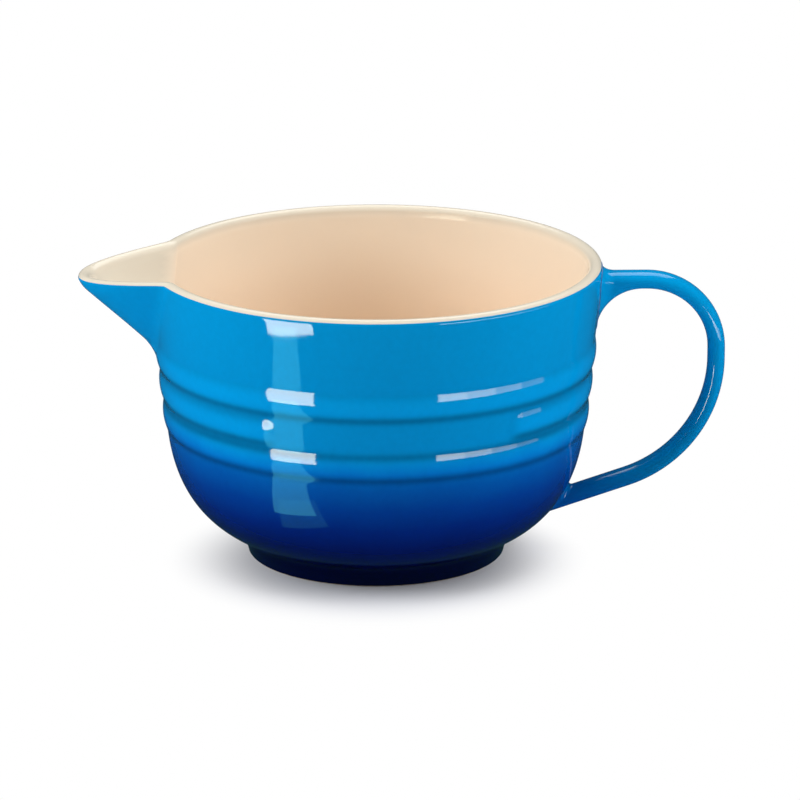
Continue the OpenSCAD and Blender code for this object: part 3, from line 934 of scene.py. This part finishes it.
def handle_glaze():
    """The blue coat on the strap: a skin over it, then given its thickness inwards."""
    everything = settings()
    strap = Strap(everything, everything.glaze.thick)
    piece = drawn_tube("strap_glaze", COAT_SIDES, strap, strap.rings(COAT_BURY))
    close_up()
    coat = piece.modifiers.new("coat", "SOLIDIFY")
    coat.thickness = everything.glaze.thick * COAT_THINNING
    coat.offset = -1
    bpy.ops.object.modifier_apply(modifier=coat.name)
    hand_over(piece, blue("sprayed_blue_glaze_on_strap", STRAP_BLUES), "blue_glaze", "handle_glaze")


def handle_clay():
    """The fired clay strap inside its coat."""
    strap = Strap(settings(), -CLAY_PLAY)
    piece = drawn_tube("clay_strap", CLAY_SIDES, strap, strap.rings(CLAY_BURY))
    cap_ends()
    hand_over(piece, fired("bare_stoneware", stoneware), "stoneware", "handle")


def slip_ring(name, node, lower):
    """The slip squeezed out between the strap and the wall: a collar that draws in over its height."""
    everything = settings()
    s = everything.strap
    strap = Strap(everything, everything.glaze.thick * (s.slip_lower if lower else s.slip_upper))
    arm = strap.lower if lower else strap.upper
    rings = [strap.arm_ring(arm, d) for d in (-SLIP_BURY, 0, 0, 0)]
    for ring, drawn_in in zip(rings[2:], (0, s.slip_round)):
        ring.centre = ring.centre + s.slip_h * arm.direction
        ring.from_wall = s.slip_h
        ring.half = ring.half - drawn_in
    piece = drawn_tube(name, COAT_SIDES, strap, rings)
    cap_ends()
    hand_over(piece, fired("luting_slip_line", luting_slip), "luting_slip", node)


# Stage

# Each lamp's place, aim and size in metres, its brightness, where white paper is 1, and its tint. Gloss
# lamps show only in the glaze's shine, and matte ones only light. The shine doesn't show the floor, so
# the left panel reaches below it and the two table glows lie just under it. They stand for the faint
# sheen of a table on the round bottom.
MIDDLE = (0, 0, 0.07)
WARM = (1, 0.97, 0.75)
SEA = (0.15, 0.95, 1)
LAMPS = (
    ("left_panel", (-0.385, -0.42, 0.027), (-0.03, -0.08, 0.027), (0.24, 0.236), 11.8, "gloss", WARM),
    ("table_glow", (-0.139, -0.160, -0.002), (-0.033, -0.040, 0.3), (0.055, 0.165), 2.4, "gloss", SEA),
    ("table_glow_end", (-0.060, -0.094, -0.002), (-0.01, -0.04, 0.3), (0.036, 0.036), 0.5, "gloss", SEA),
    ("overhead", (0.1, 1.0, 1.4), MIDDLE, (1.4, 1.0), 2.0, "gloss"),
    ("key", (-1.5, -0.45, 0.9), MIDDLE, (1.0, 1.0), 6.0, "matte"),
    ("top", (0.1, 0.1, 1.7), MIDDLE, (1.4, 1.4), 2.9, "matte"),
    ("right_fill", (1.4, -0.35, 0.8), MIDDLE, (1.0, 1.0), 4.0, "matte"),
    ("back_fill", (0.2, 1.5, 0.9), MIDDLE, (1.4, 1.0), 1.0, "matte"),
)

# The right panel is a row of lamps that fade towards the handle: degrees from -Y and brightness.
RIGHT_PANEL = ((37, 8.0), (52.5, 6.0), (68, 3.4), (83.5, 1.4))
RIGHT_R, RIGHT_Z = 1.14, 0.02
RIGHT_SIZE = (0.31, 0.2)
PALE_WARM = (1, 0.97, 0.8)

# What surrounds the bowl: a soft white fill, and a dim sea-blue room in the glaze's shine.
FILL_STRENGTH, ROOM_STRENGTH = 0.2, 0.05
ROOM = (0.3, 0.85, 1.0, 1)

FLOOR_Z = -0.05 * MM
FRAME_WIDTH = 36


def stand(name, data, place, direction):
    """A lamp or camera that stands at a place and looks along a direction, with X kept level."""
    stood = bpy.data.objects.new(name, data)
    bpy.context.scene.collection.objects.link(stood)
    x, y, z = direction / np.linalg.norm(direction)
    stood.location = place
    stood.rotation_euler = (math.acos(-z), 0.0, math.atan2(y, x) - math.pi / 2)
    return stood


def lamp(name, place, aim, size, strength, seen_by, tint=(1, 1, 1)):
    """A soft rectangular lamp."""
    data = bpy.data.lights.new(name, "AREA")
    data.shape = "RECTANGLE"
    data.size, data.size_y = size
    data.energy = strength * math.pi * size[0] * size[1]
    data.color = tint
    stood = stand(name, data, place, np.array(aim) - np.array(place))
    stood.visible_camera = False
    stood.visible_diffuse = seen_by == "matte"
    stood.visible_glossy = seen_by == "gloss"


def floor_material():
    """Pale matte table top. For the camera, it fades into the white background past the shadow."""
    material = bpy.data.materials.new("pale_table")
    tree = clean_tree(material)
    studio = settings().studio
    place = add(tree, "ShaderNodeTexCoord").outputs["Object"]
    path = add(tree, "ShaderNodeLightPath")
    matte = add(tree, "ShaderNodeBsdfDiffuse", {"Color": studio.floor})
    white = add(tree, "ShaderNodeEmission", {"Color": WHITE, "Strength": 1.0})
    shadow = (0, -studio.shadow_y, 0)
    from_shadow = add(tree, "ShaderNodeVectorMath", {0: place, 1: shadow}, operation="DISTANCE")
    fade = add(tree, "ShaderNodeMapRange", {
        "Value": from_shadow.outputs["Value"], "From Min": studio.fade_from,
        "From Max": studio.fade_to,
    }, interpolation_type="SMOOTHSTEP")
    seen = calculate(tree, "MULTIPLY", path.outputs["Is Camera Ray"], fade.outputs["Result"])
    final = add(tree, "ShaderNodeMixShader", {"Fac": seen, 1: matte.outputs[0], 2: white.outputs[0]})
    add(tree, "ShaderNodeOutputMaterial", {"Surface": final.outputs[0]})
    return material


def studio_floor():
    """The floor, just under the foot. The glaze doesn't mirror it, so that its blues stay deep."""
    floor = circle("table", 96, settings().studio.floor_r, (0, 0, FLOOR_Z), fill_type="NGON")
    floor.data.materials.append(floor_material())
    floor.visible_glossy = False


def studio_world():
    """White for the camera, the dim room for the glaze's shine, and the soft fill for the rest."""
    world = bpy.data.worlds.new("studio")
    bpy.context.scene.world = world
    tree = clean_tree(world)
    path = add(tree, "ShaderNodeLightPath").outputs
    fill, room, white = (
        add(tree, "ShaderNodeBackground", {"Color": tint, "Strength": strength}).outputs[0]
        for tint, strength in ((WHITE, FILL_STRENGTH), (ROOM, ROOM_STRENGTH), (WHITE, 1.0))
    )
    around = add(tree, "ShaderNodeMixShader", {"Fac": path["Is Glossy Ray"], 1: fill, 2: room})
    seen = add(
        tree, "ShaderNodeMixShader", {"Fac": path["Is Camera Ray"], 1: around.outputs[0], 2: white},
    )
    add(tree, "ShaderNodeOutputWorld", {"Surface": seen.outputs[0]})


def studio_camera():
    """A long lens that looks down at the bowl a little, from slightly to the lip's side."""
    studio = settings().studio
    data = bpy.data.cameras.new("photo_camera")
    data.lens = studio.lens
    data.sensor_width = FRAME_WIDTH
    a, e = studio.azimuth, studio.elevation
    away = np.array([math.sin(a) * math.cos(e), -math.cos(a) * math.cos(e), math.sin(e)])
    place = np.array(studio.target) + studio.distance * away
    bpy.context.scene.camera = stand("photo_camera", data, place, -away)


def studio_lamps():
    """The lamps round the bowl."""
    for values in LAMPS:
        lamp(*values)
    for degrees, strength in RIGHT_PANEL:
        a = math.radians(degrees)
        place = (RIGHT_R * math.sin(a), -RIGHT_R * math.cos(a), RIGHT_Z)
        lamp("right_panel", place, MIDDLE, RIGHT_SIZE, strength, "gloss", PALE_WARM)


# Operators

class BATTERBOWL_OT_outside_glaze(bpy.types.Operator):
    """Turns the blue coat, breaks its middle band and pulls its lip."""
    bl_idname = "batterbowl.outside_glaze"
    bl_label = "Outside glaze"

    def execute(self, context):
        outside_glaze()
        return {"FINISHED"}


class BATTERBOWL_OT_inside_glaze(bpy.types.Operator):
    """Turns the cream coat and pulls its lip."""
    bl_idname = "batterbowl.inside_glaze"
    bl_label = "Inside glaze"

    def execute(self, context):
        inside_glaze()
        return {"FINISHED"}


class BATTERBOWL_OT_clay_bowl(bpy.types.Operator):
    """Turns the clay wall between the coats and its foot ring."""
    bl_idname = "batterbowl.clay_bowl"
    bl_label = "Clay bowl"

    def execute(self, context):
        clay_bowl()
        return {"FINISHED"}


class BATTERBOWL_OT_base_coat(bpy.types.Operator):
    """Turns the coat in the recess under the foot."""
    bl_idname = "batterbowl.base_coat"
    bl_label = "Base coat"

    def execute(self, context):
        base_coat()
        return {"FINISHED"}


class BATTERBOWL_OT_handle(bpy.types.Operator):
    """Draws the clay strap and its blue coat."""
    bl_idname = "batterbowl.handle"
    bl_label = "Strap handle"

    def execute(self, context):
        handle_clay()
        handle_glaze()
        return {"FINISHED"}


class BATTERBOWL_OT_slip_joints(bpy.types.Operator):
    """Lays the slip at the strap's two joints."""
    bl_idname = "batterbowl.slip_joints"
    bl_label = "Slip joints"

    def execute(self, context):
        slip_ring("upper_slip", "upper_slip_joint", False)
        slip_ring("lower_slip", "lower_slip_joint", True)
        return {"FINISHED"}


class BATTERBOWL_OT_stage(bpy.types.Operator):
    """Sets the floor, the lamps, the white room and the camera."""
    bl_idname = "batterbowl.stage"
    bl_label = "Stage"

    def execute(self, context):
        context.scene.view_settings.view_transform = "Standard"
        studio_floor()
        studio_world()
        studio_lamps()
        studio_camera()
        return {"FINISHED"}


class BATTERBOWL_PT_panel(bpy.types.Panel):
    """Lists the batter bowl's pieces."""
    bl_idname = "BATTERBOWL_PT_panel"
    bl_label = "Batter bowl"
    bl_space_type = "VIEW_3D"
    bl_region_type = "UI"
    bl_category = "Batter bowl"

    def draw(self, context):
        for operator in OPERATORS:
            self.layout.operator(operator.bl_idname)
        for group in BatterBowlSettings.__annotations__:
            box = self.layout.box()
            values = getattr(context.scene.batter_bowl, group)
            for name in values.__annotations__:
                box.prop(values, name)


GROUPS = (BowlSizes, BandSizes, LipSizes, StrapSizes, GlazeLook, StudioSettings, BatterBowlSettings)
OPERATORS = (
    BATTERBOWL_OT_stage, BATTERBOWL_OT_clay_bowl, BATTERBOWL_OT_outside_glaze, BATTERBOWL_OT_inside_glaze,
    BATTERBOWL_OT_base_coat, BATTERBOWL_OT_handle, BATTERBOWL_OT_slip_joints,
)
CLASSES = GROUPS + OPERATORS + (BATTERBOWL_PT_panel,)


def register():
    for item in CLASSES:
        bpy.utils.register_class(item)
    bpy.types.Scene.batter_bowl = bpy.props.PointerProperty(type=BatterBowlSettings)


def unregister():
    del bpy.types.Scene.batter_bowl
    for item in reversed(CLASSES):
        bpy.utils.unregister_class(item)


def main():
    register()
    for operator in OPERATORS:
        group, name = operator.bl_idname.split(".")
        getattr(getattr(bpy.ops, group), name)()


if __name__ == "__main__":
    main()
